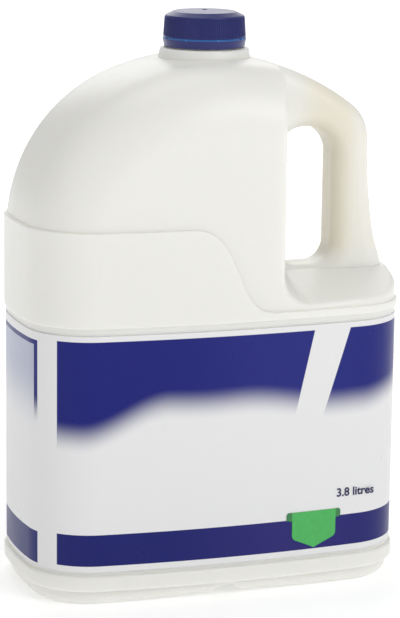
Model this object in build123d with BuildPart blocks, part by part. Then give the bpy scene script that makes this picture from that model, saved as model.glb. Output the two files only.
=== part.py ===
"""A 3.8 litre blow-moulded milk jug: filled jug with a moulded handle, wrap label and screw cap.

Frame: millimetres, +Z up, the front faces -Y, the handle is at +X.
Origin: on the standing surface, under the middle of the jug.
"""
from build123d import *
from math import hypot, sqrt
import os

# ---- jug wall: plan section with four tangent arcs ----
HALF_WIDTH = 96.3
HALF_DEPTH = 52.1
FACE_RADIUS = 626.0        # gentle bulge of the front and back
SIDE_RADIUS = 190.0        # bulge of the two ends
CORNER_RADIUS = 31.5       # rolled upright corners, carried on round the dome

# ---- dome, as seen from the front ----
SPRING_HEIGHT = 177.0      # where the upright ends turn into the dome
SHOULDER_RADIUS = 85.0
DOME_RISE = 87.3

# ---- foot, bead, label recess and belt ----
FOOT_INSET = 1.4
FOOT_FILLET = 5.0
BEAD_BOTTOM = 9.0
BEAD_TOP = 15.6
BEAD_OUT = 1.4
BEAD_ROUND = 1.3
BELT_BOTTOM = 138.5
BELT_TOP = 185.0
BELT_LOW_TOP = 142.5       # top of the belt once it has dropped beside the handle
BELT_OUT = 1.2
BELT_ROUND = 0.8
SWOOP_START = -22.0        # X where the top of the belt begins to drop
SWOOP_END = 20.0           # X where it has reached the low level
BASE_ARCH = 2.0            # lift of the foot at mid length
BASE_ARCH_HALF = 76.0
NOTCH_CENTRE = -2.5
NOTCH_HEIGHT = 6.2
NOTCH_BOTTOM_WIDTH = 20.0
NOTCH_TOP_WIDTH = 6.4
PANEL_INSET = 16.0         # recessed panel under the base
PANEL_DEPTH = 4.0

# ---- handle and its pocket ----
HANDLE_DEPTH = 27.0        # front to back
HANDLE_ROUND = 9.0
POCKET_WALL_X = 35.2
POCKET_FLOOR = 155.0
POCKET_DRAFT = 9.5 / 36.0  # outward lean of the pocket's walls
POCKET_CORNER = 5.0
POCKET_EDGE = 3.0
SLOT_LEFT = 37.0
SLOT_RIGHT = 66.5
SLOT_BOTTOM = 157.0
SLOT_TOP = 226.5
SLOT_LOW_CORNER = 10.0
HANDLE_SINK = 0.15         # the handle starts this far under the crown
HANDLE_START = 24.0
HANDLE_CREST = 34.0
# places that the handle's outer line passes, going down: slope, shoulder, grip, foot
HANDLE_LINE = [(77.0, 237.0), (85.6, 220.0), (88.9, 177.0), (92.4, 162.5), (96.0, 147.0)]

# ---- neck and cap ----
COLLAR_TOP = 267.0
COLLAR_TOP_RADIUS = 21.8
COLLAR_LOW_RADIUS = 22.9
COLLAR_EDGE = 0.8
NECK_RADIUS = 18.4
NECK_TOP = 281.6
BAND_BOTTOM = 267.6
BAND_BOTTOM_RADIUS = 19.9
BAND_TOP_RADIUS = 20.5
SLIT_BOTTOM = 271.6
SLIT_TOP = 272.2
SLIT_DEPTH = 0.7
BRIDGES = 8
BRIDGE_WIDTH = 1.2
SKIRT_LOW_RADIUS = 20.1
SKIRT_TOP_RADIUS = 19.4
SKIRT_TOP = 282.7
LID_RADIUS = 15.5
LID_EDGE_HEIGHT = 284.6
CAP_TOP = 285.3
CAP_BORE_CLEARANCE = 0.3
RIBS = 120
RIB_RADIUS = 0.30
RIB_BOTTOM = 272.9
RIB_TOP = 282.1
GATE_RADIUS = 1.1
GATE_HEIGHT = 0.25

# ---- wrap label ----
LABEL_BOTTOM = 17.6
LABEL_TOP = 135.0
LABEL_CLEARANCE = 0.05
LABEL_THICKNESS = 0.3

DOME_TOP = SPRING_HEIGHT + DOME_RISE
INNER_BAND = 50.0          # depth of the swept rim
PAST = 60.0                # half length of tools that run past front and back


def crown_radius():
    """Radius of the crown arc that meets both shoulder arcs smoothly."""
    reach = HALF_WIDTH - SHOULDER_RADIUS
    return (reach**2 + DOME_RISE**2 - SHOULDER_RADIUS**2) / (2 * (DOME_RISE - SHOULDER_RADIUS))


def crown_height(x):
    """Height of the crown arc above the point x on its middle line."""
    radius = crown_radius()
    return DOME_TOP - radius + sqrt(radius**2 - x**2)


def draw_dome_line(inset):
    """Draw the front view of the jug, inset all round, from one foot over the dome to the other."""
    half = HALF_WIDTH - inset
    reach = HALF_WIDTH - SHOULDER_RADIUS
    drop = crown_radius() - DOME_RISE
    span = hypot(reach, drop)
    radius = crown_radius() - inset
    meet = (reach / span * radius, SPRING_HEIGHT - drop + drop / span * radius)
    top = (0, DOME_TOP - inset)
    Line((half, BEAD_BOTTOM), (half, SPRING_HEIGHT))
    TangentArc((half, SPRING_HEIGHT), meet, tangent=(0, 1))
    ThreePointArc(meet, top, (-meet[0], meet[1]))
    TangentArc((-half, SPRING_HEIGHT), (-meet[0], meet[1]), tangent=(0, 1))
    Line((-half, SPRING_HEIGHT), (-half, BEAD_BOTTOM))
    return half


def plan(out):
    """Plan section of the jug, moved outward by out."""
    with BuildSketch() as section:
        with Locations((0, FACE_RADIUS - HALF_DEPTH)):
            Circle(FACE_RADIUS + out)
        with Locations((0, HALF_DEPTH - FACE_RADIUS)):
            Circle(FACE_RADIUS + out, mode=Mode.INTERSECT)
        with Locations((SIDE_RADIUS - HALF_WIDTH, 0)):
            Circle(SIDE_RADIUS + out, mode=Mode.INTERSECT)
        with Locations((HALF_WIDTH - SIDE_RADIUS, 0)):
            Circle(SIDE_RADIUS + out, mode=Mode.INTERSECT)
        fillet(section.vertices(), CORNER_RADIUS + out)
    return section.sketch


def pocket_outline(grow):
    """Outline of the space round the handle, grown to the left and downward."""
    left = POCKET_WALL_X - grow
    low = POCKET_FLOOR - grow
    right = HALF_WIDTH + 40
    high = DOME_TOP + 50
    with BuildSketch() as section:
        with BuildLine():
            Polyline((left, high), (left, low), (right, low), (right, high), close=True)
        make_face()
        corner = section.vertices().group_by(Axis.Y)[0].sort_by(Axis.X)[0]
        fillet(corner, POCKET_CORNER + grow)
    return section.sketch


# ---- the filled wall with its dome ----
with BuildPart() as wall:
    sag = SIDE_RADIUS - sqrt(SIDE_RADIUS**2 - PAST**2)
    with BuildSketch(Plane.XY.offset(BEAD_BOTTOM)):
        with BuildLine():
            outer = HALF_WIDTH - sag
            inner = HALF_WIDTH - INNER_BAND
            ThreePointArc((outer, -PAST), (HALF_WIDTH, 0), (outer, PAST))
            Polyline((outer, PAST), (inner, PAST), (inner, -PAST), (outer, -PAST))
        make_face()
    with BuildLine(Plane.XZ) as rim_path:
        draw_dome_line(0)
    sweep(path=rim_path.wire())
    with BuildSketch(Plane.XZ):
        with BuildLine():
            core_half = draw_dome_line(INNER_BAND - 5)
            Line((-core_half, BEAD_BOTTOM), (core_half, BEAD_BOTTOM))
        make_face()
    extrude(amount=PAST, both=True)
    with BuildSketch():
        with Locations((0, FACE_RADIUS - HALF_DEPTH)):
            Circle(FACE_RADIUS)
        with Locations((0, HALF_DEPTH - FACE_RADIUS)):
            Circle(FACE_RADIUS, mode=Mode.INTERSECT)
    extrude(amount=DOME_TOP + 1, mode=Mode.INTERSECT)
    front_and_back = wall.edges().filter_by(lambda e: abs(e.center().Y) > HALF_DEPTH / 2)
    rim = front_and_back.filter_by(lambda e: e.center().Z > BEAD_BOTTOM + 1)
    fillet(rim, CORNER_RADIUS)

# ---- the space round the handle ----
with BuildPart() as pocket:
    reach = HALF_DEPTH
    for side in (-1, 1):
        near = Plane(origin=(0, side * HANDLE_DEPTH / 2, 0), x_dir=(1, 0, 0), z_dir=(0, -1, 0))
        far = Plane(origin=(0, side * (HANDLE_DEPTH / 2 + reach), 0), x_dir=(1, 0, 0), z_dir=(0, -1, 0))
        with BuildSketch(near):
            add(pocket_outline(0))
        with BuildSketch(far):
            add(pocket_outline(POCKET_DRAFT * reach))
        loft(ruled=True)
    with BuildSketch(Plane.XZ):
        add(pocket_outline(0))
    extrude(amount=HANDLE_DEPTH / 2, both=True)

def pocket_rim(part):
    """Outer edges of the pocket, where its walls cut the rolled wall of the jug."""
    def made_by_pocket(face):
        """True for the pocket's own floor, wall and corner faces."""
        place = face.center()
        lean = face.normal_at(place)
        upright = abs(lean.X) > 0.9 and place.X < HALF_WIDTH / 2
        level = lean.Z > 0.9 and place.X > POCKET_WALL_X
        corner = place.X < POCKET_WALL_X + POCKET_CORNER and place.Z < POCKET_FLOOR + POCKET_CORNER
        return place.X > POCKET_WALL_X - 9 and place.Z > BELT_LOW_TOP and (upright or level or corner)

    own = part.faces().filter_by(made_by_pocket)
    others = [face for face in part.faces() if face not in own]
    inside = ShapeList([edge for face in own for edge in face.edges()])
    outside = [edge for face in others for edge in face.edges()]
    return inside.filter_by(lambda e: e in outside and abs(e.center().Y) > HANDLE_DEPTH / 2 - 1)


# ---- the belt: a raised band whose top drops beside the handle ----
with BuildPart() as belt:
    with BuildSketch(Plane.XY.offset(BELT_BOTTOM)):
        add(plan(BELT_OUT))
    extrude(amount=BELT_TOP - BELT_BOTTOM)
    with BuildSketch(Plane.XZ):
        with BuildLine():
            left = -HALF_WIDTH - 10
            right = HALF_WIDTH + 10
            Polyline((right, BELT_LOW_TOP), (right, BELT_BOTTOM), (left, BELT_BOTTOM), (left, BELT_TOP))
            Line((left, BELT_TOP), (SWOOP_START, BELT_TOP))
            swoop_ends = [(SWOOP_START, BELT_TOP), (SWOOP_END, BELT_LOW_TOP)]
            Spline(swoop_ends, tangents=[(1, 0), (1, 0)], tangent_scalars=[1.3, 1.1])
            Line((SWOOP_END, BELT_LOW_TOP), (right, BELT_LOW_TOP))
        make_face()
    extrude(amount=PAST, both=True, mode=Mode.INTERSECT)
    upper = belt.edges().filter_by(lambda e: e.center().Z > BELT_LOW_TOP - 0.1)
    outer = upper.filter_by(lambda e: abs(e.center().Y) > 1 or abs(e.center().X) > HALF_WIDTH - 2)
    fillet(outer, BELT_ROUND)
    fillet(belt.edges().group_by(Axis.Z)[0], BELT_ROUND)

# ---- the foot and its bead ----
with BuildPart() as foot:
    with BuildSketch():
        add(plan(-FOOT_INSET))
    extrude(amount=BEAD_TOP)
    with BuildSketch(Plane.XZ):
        with BuildLine():
            arch = [(-BASE_ARCH_HALF, 0), (0, BASE_ARCH), (BASE_ARCH_HALF, 0)]
            Spline(arch, tangents=[(1, 0), (1, 0)])
            Line((-BASE_ARCH_HALF, 0), (BASE_ARCH_HALF, 0))
        make_face()
    extrude(amount=PAST, both=True, mode=Mode.SUBTRACT)
    fillet(foot.edges().filter_by(lambda e: e.center().Z < BASE_ARCH + 1 and (
        abs(e.center().Y) > HALF_DEPTH / 2 or abs(e.center().X) > HALF_WIDTH * 0.9)), FOOT_FILLET)
    with BuildSketch(Plane.XY.offset(-1)):
        add(plan(-PANEL_INSET))
    extrude(amount=1 + PANEL_DEPTH, mode=Mode.SUBTRACT)
    with BuildSketch(Plane.XZ):
        with BuildLine():
            low = NOTCH_BOTTOM_WIDTH / 2
            high = NOTCH_TOP_WIDTH / 2
            Polyline((NOTCH_CENTRE - low, 0), (NOTCH_CENTRE - high, NOTCH_HEIGHT),
                     (NOTCH_CENTRE + high, NOTCH_HEIGHT), (NOTCH_CENTRE + low, 0), close=True)
        make_face()
    extrude(amount=PAST, both=True, mode=Mode.SUBTRACT)

with BuildPart() as bead:
    with BuildSketch(Plane.XY.offset(BEAD_BOTTOM - BEAD_ROUND)):
        add(plan(BEAD_OUT))
    extrude(amount=BEAD_TOP - BEAD_BOTTOM + BEAD_ROUND)
    fillet(bead.edges().filter_by(lambda e: abs(e.center().Z - BEAD_TOP) < 0.1), BEAD_ROUND)
    fillet(bead.edges().group_by(Axis.Z)[0], BEAD_ROUND)

# ---- the handle ----
with BuildPart() as handle:
    with BuildSketch(Plane.XZ):
        with BuildLine():
            crest = (HANDLE_CREST, crown_height(HANDLE_CREST) - HANDLE_SINK)
            middle_x = (HANDLE_START + HANDLE_CREST) / 2
            middle = (middle_x, crown_height(middle_x) - HANDLE_SINK)
            start = (HANDLE_START, crown_height(HANDLE_START) - HANDLE_SINK)
            last = ThreePointArc(start, middle, crest)
            for place in HANDLE_LINE:
                last = TangentArc(last @ 1, place, tangent=last % 1)
            base = (HANDLE_LINE[-1][0] - CORNER_RADIUS / 2, BELT_BOTTOM)
            Polyline(last @ 1, base, (HANDLE_START, BELT_BOTTOM), start)
        make_face()
        slot_middle = (SLOT_LEFT + SLOT_RIGHT) / 2
        slot_width = SLOT_RIGHT - SLOT_LEFT
        slot_height = SLOT_TOP - SLOT_BOTTOM
        with BuildSketch(mode=Mode.SUBTRACT) as slot:
            with Locations((slot_middle, (SLOT_TOP + SLOT_BOTTOM) / 2)):
                Rectangle(slot_width, slot_height)
            upper_corners = slot.vertices().group_by(Axis.Y)[-1]
            fillet(upper_corners, slot_width / 2 - 0.5)
            lower_corners = slot.vertices().group_by(Axis.Y)[0]
            fillet(lower_corners, SLOT_LOW_CORNER)
    extrude(amount=HANDLE_DEPTH / 2, both=True)
    rounded = handle.edges().filter_by(lambda e: abs(e.center().Y) > 1).filter_by(
        lambda e: e.center().X > HANDLE_START + 1 and e.center().Z > BELT_LOW_TOP + 3)
    fillet(rounded, HANDLE_ROUND)

# ---- the neck with its collar ----
with BuildPart() as neck:
    with BuildSketch(Plane.XZ):
        with BuildLine():
            Polyline((0, SPRING_HEIGHT), (COLLAR_LOW_RADIUS, SPRING_HEIGHT),
                     (COLLAR_LOW_RADIUS, DOME_TOP - 3), (COLLAR_TOP_RADIUS, COLLAR_TOP),
                     (NECK_RADIUS, COLLAR_TOP), (NECK_RADIUS, NECK_TOP), (0, NECK_TOP), close=True)
        make_face()
    revolve(axis=Axis.Z)
    collar_rings = neck.edges().filter_by(lambda e: abs(e.center().Z - COLLAR_TOP) < 0.1)
    fillet(collar_rings.sort_by(SortBy.LENGTH)[-1], COLLAR_EDGE)

# ---- the jug: everything above is one blow-moulded piece ----
with BuildPart() as jug:
    add(wall.part)
    add(pocket.part, mode=Mode.SUBTRACT)
    fillet(pocket_rim(jug.part), POCKET_EDGE)
    add(belt.part)
    add(foot.part)
    add(bead.part)
    add(handle.part)
    add(neck.part)

# ---- the cap with its ribbed skirt and tamper band ----
with BuildPart() as cap:
    with BuildSketch(Plane.XZ):
        with BuildLine():
            Polyline((0, BAND_BOTTOM), (BAND_BOTTOM_RADIUS, BAND_BOTTOM), (BAND_TOP_RADIUS, SLIT_BOTTOM - 0.6),
                     (BAND_TOP_RADIUS, SLIT_TOP), (SKIRT_LOW_RADIUS, SLIT_TOP + 0.3),
                     (SKIRT_TOP_RADIUS, SKIRT_TOP), (LID_RADIUS, LID_EDGE_HEIGHT))
            ThreePointArc((LID_RADIUS, LID_EDGE_HEIGHT), (LID_RADIUS / 2, CAP_TOP - 0.2), (0, CAP_TOP))
            Line((0, CAP_TOP), (0, BAND_BOTTOM))
        make_face()
    revolve(axis=Axis.Z)
    bevel = cap.edges().filter_by(lambda e: abs(e.center().Z - SKIRT_TOP) < 0.1)
    fillet(bevel, 0.7)
    with BuildSketch(Plane.XY.offset(SLIT_BOTTOM)):
        Circle(BAND_TOP_RADIUS + 1)
        Circle(BAND_TOP_RADIUS - SLIT_DEPTH, mode=Mode.SUBTRACT)
        with PolarLocations((BAND_TOP_RADIUS + SKIRT_LOW_RADIUS) / 2 - 0.4, BRIDGES):
            Rectangle(3, BRIDGE_WIDTH, mode=Mode.SUBTRACT)
    extrude(amount=SLIT_TOP - SLIT_BOTTOM, mode=Mode.SUBTRACT)
    skirt_lean = (SKIRT_LOW_RADIUS - SKIRT_TOP_RADIUS) / (SKIRT_TOP - SLIT_TOP)
    for height in (RIB_BOTTOM, RIB_TOP):
        skirt_radius = SKIRT_LOW_RADIUS - skirt_lean * (height - SLIT_TOP)
        with BuildSketch(Plane.XY.offset(height)):
            Circle(skirt_radius)
            with PolarLocations(skirt_radius, RIBS):
                Circle(RIB_RADIUS)
    loft(ruled=True)
    with Locations((0, 0, BAND_BOTTOM)):
        Cylinder(NECK_RADIUS + CAP_BORE_CLEARANCE, NECK_TOP - BAND_BOTTOM,
                 align=(Align.CENTER, Align.CENTER, Align.MIN), mode=Mode.SUBTRACT)
    with Locations((0, 0, CAP_TOP - GATE_HEIGHT)):
        Cylinder(GATE_RADIUS, 2 * GATE_HEIGHT, align=(Align.CENTER, Align.CENTER, Align.MIN))

# ---- the wrap label in its recess ----
with BuildPart() as label:
    with BuildSketch(Plane.XY.offset(LABEL_BOTTOM)):
        add(plan(LABEL_CLEARANCE + LABEL_THICKNESS))
        add(plan(LABEL_CLEARANCE), mode=Mode.SUBTRACT)
    extrude(amount=LABEL_TOP - LABEL_BOTTOM)

os.makedirs("parts", exist_ok=True)
for name, piece in (("jug", jug), ("cap", cap), ("label", label)):
    piece.part.label = name
    export_step(piece.part, f"parts/{name}.step")
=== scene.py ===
"""Looks of the plastic milk jug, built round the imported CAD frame."""
import math

import bpy
from mathutils import Matrix, Vector


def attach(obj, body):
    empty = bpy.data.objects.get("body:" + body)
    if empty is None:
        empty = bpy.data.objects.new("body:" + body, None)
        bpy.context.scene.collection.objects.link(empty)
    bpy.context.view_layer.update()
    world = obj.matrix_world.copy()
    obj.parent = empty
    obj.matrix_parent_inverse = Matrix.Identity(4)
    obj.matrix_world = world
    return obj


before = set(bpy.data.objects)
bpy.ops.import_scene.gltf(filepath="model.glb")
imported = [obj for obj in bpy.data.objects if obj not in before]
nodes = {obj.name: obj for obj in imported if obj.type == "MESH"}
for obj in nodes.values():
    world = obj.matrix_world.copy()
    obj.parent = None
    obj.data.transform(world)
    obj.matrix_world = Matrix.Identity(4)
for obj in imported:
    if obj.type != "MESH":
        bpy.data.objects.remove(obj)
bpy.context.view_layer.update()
MM = 0.001

# ---- camera ----
AZIMUTH = math.radians(-19.24)
ELEVATION = math.radians(11.857)
ROLL = math.radians(0.714)
DISTANCE = 1285.3 * MM
AIM = Vector((-0.542, 0.0, 135.0)) * MM
LENS = 148.8
SENSOR = 36.0

# ---- label, in millimetres ----
FACE_RADIUS = 626.0            # bulge of the label's front and back
FACE_DEPTH = 52.45             # how far the front stands out from the middle
LABEL_GAP = 0.12               # printed pieces stand this far off the label
SHEET_LIFT = 0.06              # and this much more for each sheet they lie on
TEXT_LIFT = 0.05

# ---- front and back print, in millimetres ----
FRONT_START_X = -86.6          # the front panel starts just round the front left corner
BACK_SOFT = 0.3
BACK_Y = 29.3                  # behind this the print is the front's, turned half round
FIELD_TOP = 132.3
BAND_LOW = 20.7
BAND_HIGH = 36.5
EDGE_SOFT = 0.15
BAND_SOFT = 0.12
FADE_BELOW = -5.5              # the field fades out from here to FADE_ABOVE, about the wave
FADE_ABOVE = 11.0
WAVE_START = 82.5              # height of the wave at the left edge
WAVE_STEPS = (                 # where the wave climbs or sinks, and by how much
    (-78.0, -32.0, 14.5),
    (0.0, 62.0, -5.2),
    (68.0, 96.0, 6.0),
)
RIPPLE_HEIGHT = 0.5
RIPPLE_TURN = 0.11             # radians along each millimetre
STRIPE_FOOT = 90.0             # height at which the stripe's two edges are given
STRIPE_LEFT = (31.8, 0.232)    # place at that height, and lean
STRIPE_RIGHT = (47.4, 0.325)
STRIPE_SOFT = 0.2
# painted sheen: between these places along each face the blue field and band are mixed lighter, standing in
# for light on the film
SHEEN_LEFT = -5.0
SHEEN_RIGHT = 75.0
SHEEN_SOFT = 35.0
SHEEN_AMOUNT = 0.35

# ---- panel on the plain end, in millimetres ----
END_X = -93.4                  # the panel is to the left of this
END_SOFT = 0.1
END_DROP = 1.65                # how much lower its print sits
END_HALF = 29.55               # half its width
PANEL_HALF = 26.15             # half the width inside its blue line
PANEL_LINE = 2.4
PANEL_LINE_SOFT = 0.3
PANEL_SOFT = 0.15
END_BAND_DROP = 1.3
PALE_AMOUNT = 0.9
PALE_FROM = 84.0               # the pale field comes in between these heights
PALE_TO = 118.0
LINE_FROM = 89.0               # and the blue line between these
LINE_TO = 104.0

# ---- jug's warm handle and moulding seam, in millimetres ----
HANDLE_X = (34.0, 62.0)
HANDLE_Z = (150.0, 172.0)
INNER_X = (68.0, 80.0)
HANDLE_WARMTH = 0.35
INNER_WARMTH = 0.45
MOTTLE_AMOUNT = 0.3
FINE_RELIEF = 0.25             # beside a seam of 1
RIPPLE_RELIEF = 1.6
SEAM_HALF = 0.25
SEAM_SOFT = 0.2
SEAM_FROM = (4.0, 10.0)

# ---- cap, in millimetres ----
# heights of the tear slit, where a painted highlight of lighter blue lies
SLIT_LOW = 271.5
SLIT_HIGH = 272.3
SLIT_SOFT = 0.15

# ---- green pennant, in millimetres ----
PENNANT_LEFT = 31.2
PENNANT_RIGHT = 55.0
PENNANT_TOP = 40.3
PENNANT_SHOULDER = 28.6
PENNANT_TIP = 21.4
PENNANT_ROUND = 3.0
PENNANT_TURN = 65              # degrees round each lower corner
TIP_HALF = 2.5                 # the tip's blunt part
TIP_RISE = 1.2
FOLD_LEFT_OUT = 3.1
FOLD_LEFT_TOP = 2.2
FOLD_RIGHT_OUT = 2.7
FOLD_RIGHT_TOP = 1.9
FOLD_INNER_DROP = 4.6
FOLD_OUTER_DROP = 4.0
FOLD_CORNER_DROP = 1.0

# ---- printed volume, in millimetres ----
VOLUME = "3.8 litres"
VOLUME_SIZE = 6.0
VOLUME_BOLD = 0.15
VOLUME_PLACE = (55.3, 46.2)

# ---- light and floor ----
LAMPS = (                      # name, place in metres, size in metres, watts
    ("key", (0.65, -1.25, 1.05), 0.9, 8.5),
    ("fill", (-1.2, -0.7, 0.8), 1.0, 2),
    ("top", (-0.1, 0.2, 1.5), 0.8, 3.5),
    ("back", (0.3, 1.3, 0.9), 1.0, 5),
)
LAMP_AIM = Vector((0, 0, 0.14))
WORLD_LIGHT = 0.43             # on the jug
WORLD_SEEN = 1.0               # behind it
FLOOR_HALF = 6.0
FLOOR_GLOW = 0.3
FLOOR_FAR_GLOW = 0.5           # more, from the near to the far reach
FLOOR_NEAR = 250.0
FLOOR_FAR = 1600.0

# ---- colours, linear ----
MILK = (0.82, 0.815, 0.775, 1)
MILK_WARM = (0.77, 0.735, 0.62, 1)
WHITE_FILM = (0.78, 0.78, 0.785, 1)
BLUE = (0.004, 0.008, 0.165, 1)
BAND_BLUE = (0.005, 0.009, 0.135, 1)
LAVENDER = (0.40, 0.43, 0.56, 1)
GREEN = (0.06, 0.47, 0.10, 1)
GREEN_FOLD = (0.03, 0.22, 0.06, 1)
INK = (0.010, 0.014, 0.09, 1)
# painted sheen: lighter blues for the field and the band where light falls on the front
FIELD_SHEEN = (0.028, 0.034, 0.24, 1)
BAND_SHEEN = (0.045, 0.030, 0.20, 1)
WHITE = (1, 1, 1, 1)
FLOOR_WHITE = (0.93, 0.93, 0.93, 1)
INK_SHADE = 0.8                # how far printed ink darkens in patches
CAP_BLUE = (0.006, 0.011, 0.13, 1)
# painted highlight: light blue gleam in the cap's tear slit, standing in for light
SLIT_HIGHLIGHT = (0.03, 0.20, 0.55, 1)


class Nodes:
    """Short hand for building a material's node tree."""

    def __init__(self, name):
        self.material = bpy.data.materials.new(name)
        self.material.use_nodes = True
        self.tree = self.material.node_tree
        self.shader = self.tree.nodes["Principled BSDF"]

    def node(self, kind, **values):
        made = self.tree.nodes.new(kind)
        for key, value in values.items():
            setattr(made, key, value)
        return made

    def link(self, source, target):
        self.tree.links.new(source, target)

    def place(self, target, value):
        if hasattr(value, "is_output"):
            self.link(value, target)
        else:
            target.default_value = value

    def math(self, operation, *values):
        made = self.node("ShaderNodeMath", operation=operation)
        for index, value in enumerate(values):
            self.place(made.inputs[index], value)
        return made.outputs[0]

    def inverse(self, value):
        """1 where the value is 0, and 0 where it is 1."""
        return self.math("SUBTRACT", 1.0, value)

    def both(self, first, second):
        """Product: for two masks, where both hold."""
        return self.math("MULTIPLY", first, second)

    def mix(self, amount, first, second):
        made = self.node("ShaderNodeMix", data_type="RGBA")
        self.place(made.inputs["Factor"], amount)
        self.place(made.inputs[6], first)
        self.place(made.inputs[7], second)
        return made.outputs[2]

    def step(self, value, low, high):
        """0 below low, 1 above high, smooth between."""
        made = self.node("ShaderNodeMapRange", interpolation_type="SMOOTHSTEP")
        self.place(made.inputs["Value"], value)
        made.inputs["From Min"].default_value = low
        made.inputs["From Max"].default_value = high
        return made.outputs[0]

    def between(self, value, low, high, soft):
        """1 from low to high, with soft edges."""
        up = self.step(value, low - soft, low + soft)
        down = self.step(value, high - soft, high + soft)
        return self.both(up, self.inverse(down))

    def position(self):
        """Object coordinates in millimetres, as three sockets. Noise needs this first."""
        coordinates = self.node("ShaderNodeTexCoord").outputs["Object"]
        scaled = self.node("ShaderNodeVectorMath", operation="SCALE")
        self.link(coordinates, scaled.inputs[0])
        scaled.inputs["Scale"].default_value = 1 / MM
        split = self.node("ShaderNodeSeparateXYZ")
        self.link(scaled.outputs[0], split.inputs[0])
        self.spot = scaled.outputs[0]
        return split.outputs

    def noise(self, scale, detail=3.0):
        made = self.node("ShaderNodeTexNoise")
        self.link(self.spot, made.inputs["Vector"])
        made.inputs["Scale"].default_value = scale
        made.inputs["Detail"].default_value = detail
        return made.outputs["Fac"]

    def rough(self, base, scale, spread):
        """Roughness that wanders above its base, in patches of this noise scale."""
        self.set(Roughness=self.math("ADD", base, self.both(self.noise(scale), spread)))

    def bump(self, height, distance, strength):
        """Relief from a height, at most this many millimetres deep."""
        made = self.node("ShaderNodeBump")
        made.inputs["Strength"].default_value = strength
        made.inputs["Distance"].default_value = distance * MM
        self.link(height, made.inputs["Height"])
        self.link(made.outputs[0], self.shader.inputs["Normal"])

    def set(self, **values):
        for key, value in values.items():
            self.place(self.shader.inputs[key.replace("_", " ")], value)


def milk_plastic():
    """Natural HDPE with milk behind it: soft satin, a little warmer round the handle."""
    m = Nodes("milk_plastic")
    x, y, z = m.position()
    handle = m.both(m.step(x, *HANDLE_X), m.step(z, *HANDLE_Z))
    inner = m.both(handle, m.inverse(m.step(x, *INNER_X)))
    warm = m.math("ADD", m.both(handle, HANDLE_WARMTH), m.both(inner, INNER_WARMTH))
    mottle = m.both(m.math("SUBTRACT", m.noise(scale=0.03), 0.5), MOTTLE_AMOUNT)
    tint = m.math("ADD", warm, mottle)
    m.set(Base_Color=m.mix(m.step(tint, 0.0, 1.0), MILK, MILK_WARM))
    m.rough(base=0.30, scale=0.25, spread=0.14)
    m.set(Subsurface_Weight=0.75, Subsurface_Scale=0.007)
    m.set(Subsurface_Radius=(1.0, 0.95, 0.85), IOR=1.5)
    seam = m.between(y, -SEAM_HALF, SEAM_HALF, SEAM_SOFT)
    fine = m.both(m.noise(scale=0.9, detail=4.0), FINE_RELIEF)
    ripple = m.both(m.noise(scale=0.06, detail=1.0), RIPPLE_RELIEF)
    height = m.math("ADD", m.both(seam, m.step(z, *SEAM_FROM)), m.math("ADD", fine, ripple))
    m.bump(height, distance=0.22, strength=0.7)
    return m.material


def wave_height(m, along):
    """Height of the blue field's lower edge."""
    left, sag, right = (m.both(m.step(along, low, high), rise) for low, high, rise in WAVE_STEPS)
    ripple = m.both(m.math("SINE", m.both(along, RIPPLE_TURN)), RIPPLE_HEIGHT)
    climbs = m.math("ADD", m.math("ADD", left, sag), m.math("ADD", right, ripple))
    return m.math("ADD", climbs, WAVE_START)


def past_edge(m, along, low, edge):
    """1 to the right of a leaning edge of the stripe."""
    place, lean = edge
    edge_x = m.math("ADD", place, m.both(low, lean))
    return m.step(m.math("SUBTRACT", along, edge_x), -STRIPE_SOFT, STRIPE_SOFT)


def panel_print(m, colour, x, y, z):
    """Lay the end panel over a colour: blue line, pale field and lower band."""
    top = FIELD_TOP - END_DROP
    reach = m.math("ABSOLUTE", y)
    on_end = m.inverse(m.step(x, END_X - END_SOFT, END_X + END_SOFT))
    within = m.inverse(m.step(reach, END_HALF - PANEL_SOFT, END_HALF + PANEL_SOFT))
    inside = m.inverse(m.step(reach, PANEL_HALF - PANEL_SOFT, PANEL_HALF + PANEL_SOFT))
    under = m.inverse(m.step(z, top - PANEL_LINE, top - PANEL_LINE + PANEL_LINE_SOFT))
    inside = m.both(inside, under)
    line_fade = m.both(m.step(z, LINE_FROM, LINE_TO), m.inverse(m.step(z, top, top + PANEL_LINE_SOFT)))
    line = m.both(m.both(on_end, line_fade), m.inverse(inside))
    colour = m.mix(m.both(line, within), colour, BLUE)
    pale = m.both(m.both(on_end, inside), m.step(z, PALE_FROM, PALE_TO))
    colour = m.mix(m.both(pale, PALE_AMOUNT), colour, LAVENDER)
    band = m.between(z, BAND_LOW - END_DROP, BAND_HIGH - END_BAND_DROP, BAND_SOFT)
    return m.mix(m.both(m.both(on_end, band), within), colour, BAND_BLUE)


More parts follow.
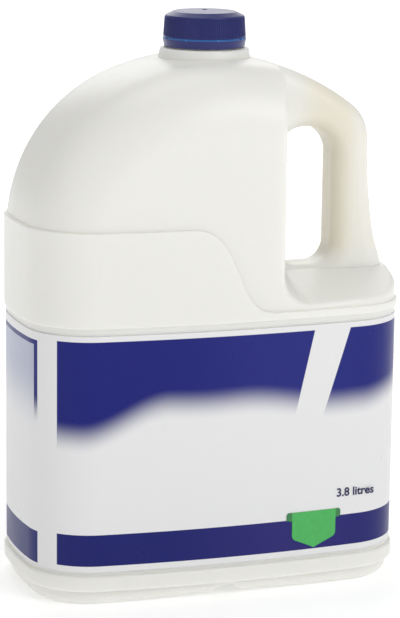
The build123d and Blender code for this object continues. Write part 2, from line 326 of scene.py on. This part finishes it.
def label_print():
    """Printed film: blue field fading to white, slanted stripe, lower band and end panel, with a painted
    sheen lightening the blues across each face's middle.
    """
    m = Nodes("label_print")
    x, y, z = m.position()
    front = m.inverse(m.step(y, BACK_Y - BACK_SOFT, BACK_Y + BACK_SOFT))
    along = m.both(x, m.math("SUBTRACT", m.both(front, 2.0), 1.0))
    started = m.step(along, FRONT_START_X - EDGE_SOFT, FRONT_START_X + EDGE_SOFT)
    below_top = m.inverse(m.step(z, FIELD_TOP - EDGE_SOFT, FIELD_TOP + EDGE_SOFT))
    above_wave = m.math("SUBTRACT", z, wave_height(m, along))
    field = m.both(m.step(above_wave, FADE_BELOW, FADE_ABOVE), m.both(below_top, started))
    low = m.math("SUBTRACT", z, STRIPE_FOOT)
    left, right = (past_edge(m, along, low, edge) for edge in (STRIPE_LEFT, STRIPE_RIGHT))
    field = m.both(field, m.inverse(m.math("SUBTRACT", left, right)))
    # painted sheen: lighter blue across the middle of the field and band
    sheen = m.both(m.between(along, SHEEN_LEFT, SHEEN_RIGHT, SHEEN_SOFT), SHEEN_AMOUNT)
    colour = m.mix(field, WHITE_FILM, m.mix(sheen, BLUE, FIELD_SHEEN))
    band = m.both(m.between(z, BAND_LOW, BAND_HIGH, BAND_SOFT), started)
    colour = m.mix(band, colour, m.mix(sheen, BAND_BLUE, BAND_SHEEN))
    m.set(Base_Color=panel_print(m, colour, x, y, z))
    m.rough(base=0.24, scale=0.12, spread=0.12)
    m.set(Specular_IOR_Level=0.22, IOR=1.5)
    m.bump(m.noise(scale=0.05, detail=2.0), distance=0.6, strength=0.25)
    return m.material


def cap_plastic():
    """Glossy blue plastic with a soft mottled gloss, and a painted highlight of lighter blue in its tear
    slit.
    """
    m = Nodes("cap_plastic")
    _, _, z = m.position()
    # painted highlight: the tear slit is coloured lighter blue
    slit = m.between(z, SLIT_LOW, SLIT_HIGH, SLIT_SOFT)
    m.set(Base_Color=m.mix(slit, CAP_BLUE, SLIT_HIGHLIGHT))
    m.rough(base=0.27, scale=0.8, spread=0.12)
    m.set(Subsurface_Weight=0.05, Subsurface_Scale=0.002, IOR=1.5)
    m.bump(m.noise(scale=3.0, detail=4.0), distance=0.03, strength=0.5)
    return m.material


def flat_print(name, colour):
    """Ink on the film, with the film's uneven gloss."""
    m = Nodes(name)
    m.position()
    darker = tuple(part * INK_SHADE for part in colour[:3]) + (1,)
    m.set(Base_Color=m.mix(m.noise(scale=0.4), colour, darker))
    m.rough(base=0.26, scale=0.12, spread=0.1)
    m.set(IOR=1.5)
    return m.material


def front_y(x):
    """Y of the label's front face at x, in millimetres."""
    return -(FACE_DEPTH - FACE_RADIUS + math.sqrt(FACE_RADIUS**2 - x**2))


def face_sheet(name, outline, material, lift):
    """A thin printed shape that follows the front of the label."""
    curve = bpy.data.curves.new(name, "CURVE")
    curve.dimensions = "2D"
    curve.fill_mode = "BOTH"
    spline = curve.splines.new("POLY")
    spline.points.add(len(outline) - 1)
    for point, (x, z) in zip(spline.points, outline):
        point.co = (x, z, 0, 1)
    spline.use_cyclic_u = True
    return settle(name, curve, material, lift)


def settle(name, data, material, lift, places=(0, 0)):
    """Turn flat artwork in X and Z into a mesh wrapped on the label's front."""
    flat = bpy.data.objects.new(name + "_flat", data)
    bpy.context.scene.collection.objects.link(flat)
    bpy.context.view_layer.update()
    evaluated = flat.evaluated_get(bpy.context.evaluated_depsgraph_get())
    mesh = bpy.data.meshes.new_from_object(evaluated)
    bpy.data.objects.remove(flat)
    for vertex in mesh.vertices:
        x = vertex.co.x + places[0]
        z = vertex.co.y + places[1]
        vertex.co = Vector((x, front_y(x) - LABEL_GAP - lift, z)) * MM
    mesh.name = name
    piece = bpy.data.objects.new(name, mesh)
    bpy.context.scene.collection.objects.link(piece)
    piece.data.materials.append(material)
    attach(piece, "root")
    return piece


def rounded_corner(centre, radius, start, end, steps=8):
    """Points along an arc, angles in degrees."""
    angles = [math.radians(start + (end - start) * i / steps) for i in range(steps + 1)]
    return [(centre[0] + radius * math.cos(a), centre[1] + radius * math.sin(a)) for a in angles]


def make_fold(name, edge, out, top, material):
    """A darker ribbon end beside one upper corner; out and top are signed."""
    outline = [
        (edge, PENNANT_TOP),
        (edge, PENNANT_TOP - FOLD_INNER_DROP),
        (edge + out, PENNANT_TOP - FOLD_OUTER_DROP),
        (edge + out, PENNANT_TOP - FOLD_CORNER_DROP),
        (edge + top, PENNANT_TOP),
    ]
    face_sheet(name, outline, material, SHEET_LIFT)


def make_pennant():
    """Plain green pennant with a folded ribbon end at each upper corner."""
    left, right, middle = PENNANT_LEFT, PENNANT_RIGHT, (PENNANT_LEFT + PENNANT_RIGHT) / 2
    body = [(left, PENNANT_TOP)]
    body += rounded_corner((left + PENNANT_ROUND, PENNANT_SHOULDER), PENNANT_ROUND, 180, 180 + PENNANT_TURN)
    body += [(middle - TIP_HALF, PENNANT_TIP + TIP_RISE), (middle, PENNANT_TIP)]
    body += [(middle + TIP_HALF, PENNANT_TIP + TIP_RISE)]
    body += rounded_corner((right - PENNANT_ROUND, PENNANT_SHOULDER), PENNANT_ROUND, 360 - PENNANT_TURN, 360)
    body += [(right, PENNANT_TOP)]
    face_sheet("pennant", body, flat_print("pennant_green", GREEN), 2 * SHEET_LIFT)
    fold = flat_print("pennant_fold", GREEN_FOLD)
    make_fold("fold_left", left, -FOLD_LEFT_OUT, -FOLD_LEFT_TOP, fold)
    make_fold("fold_right", right, FOLD_RIGHT_OUT, FOLD_RIGHT_TOP, fold)


def make_volume_text():
    """The pack's plain volume, printed in dark ink."""
    text = bpy.data.curves.new("volume", "FONT")
    text.body = VOLUME
    text.size = VOLUME_SIZE
    text.offset = VOLUME_BOLD
    text.align_x = "LEFT"
    text.resolution_u = 4
    settle("volume_text", text, flat_print("ink", INK), TEXT_LIFT, VOLUME_PLACE)


def make_lamp(name, place, size, power):
    """A square area lamp, turned to the jug."""
    data = bpy.data.lights.new(name, "AREA")
    data.size = size
    data.energy = power
    light = bpy.data.objects.new(name, data)
    bpy.context.scene.collection.objects.link(light)
    light.location = place
    light.rotation_euler = (LAMP_AIM - Vector(place)).to_track_quat("-Z", "Y").to_euler()


def make_world():
    """Even white world, brighter where the camera sees it than on the jug."""
    world = bpy.data.worlds.new("studio")
    bpy.context.scene.world = world
    world.use_nodes = True
    tree = world.node_tree
    background = tree.nodes["Background"]
    background.inputs["Color"].default_value = WHITE
    path = tree.nodes.new("ShaderNodeLightPath")
    level = tree.nodes.new("ShaderNodeMapRange")
    level.inputs["To Min"].default_value = WORLD_LIGHT
    level.inputs["To Max"].default_value = WORLD_SEEN
    tree.links.new(path.outputs["Is Camera Ray"], level.inputs["Value"])
    tree.links.new(level.outputs[0], background.inputs["Strength"])


def make_floor():
    """Plain white floor under the jug, glowing a little and more so far off."""
    half = FLOOR_HALF
    corners = [(-half, -half, 0), (half, -half, 0), (half, half, 0), (-half, half, 0)]
    mesh = bpy.data.meshes.new("floor")
    mesh.from_pydata(corners, [], [(0, 1, 2, 3)])
    floor = bpy.data.objects.new("floor", mesh)
    bpy.context.scene.collection.objects.link(floor)
    m = Nodes("floor")
    m.position()
    reach = m.node("ShaderNodeVectorMath", operation="LENGTH")
    m.link(m.spot, reach.inputs[0])
    far = m.step(reach.outputs["Value"], FLOOR_NEAR, FLOOR_FAR)
    m.set(Base_Color=FLOOR_WHITE, Roughness=0.9, Emission_Color=WHITE)
    m.set(Emission_Strength=m.math("ADD", FLOOR_GLOW, m.both(far, FLOOR_FAR_GLOW)))
    floor.data.materials.append(m.material)


def make_camera():
    """Long-lens camera from the front left, a little above, with a slight roll."""
    side, high = math.sin(AZIMUTH), math.sin(ELEVATION)
    back = Vector((side * math.cos(ELEVATION), -math.cos(AZIMUTH) * math.cos(ELEVATION), high))
    right = Vector((math.cos(AZIMUTH), side, 0))
    up = back.cross(right)
    rolled_right = right * math.cos(ROLL) + up * math.sin(ROLL)
    rolled_up = up * math.cos(ROLL) - right * math.sin(ROLL)
    data = bpy.data.cameras.new("camera")
    data.lens = LENS
    data.sensor_width = SENSOR
    data.clip_end = 20
    camera = bpy.data.objects.new("camera", data)
    bpy.context.scene.collection.objects.link(camera)
    turn = Matrix((rolled_right, rolled_up, back)).transposed().to_4x4()
    camera.matrix_world = Matrix.Translation(AIM + back * DISTANCE) @ turn
    bpy.context.scene.camera = camera


def paint(node, material):
    """Give a CAD node its material."""
    mesh = nodes[node].data
    if not mesh.materials:
        mesh.materials.append(material)
    for index in range(len(mesh.materials)):
        nodes[node].material_slots[index].material = material


make_camera()
for name, place, size, power in LAMPS:
    make_lamp(name, place, size, power)
make_world()
make_floor()
paint("jug", milk_plastic())
paint("cap", cap_plastic())
paint("label", label_print())
make_pennant()
make_volume_text()
bpy.context.scene.view_settings.view_transform = "Standard"
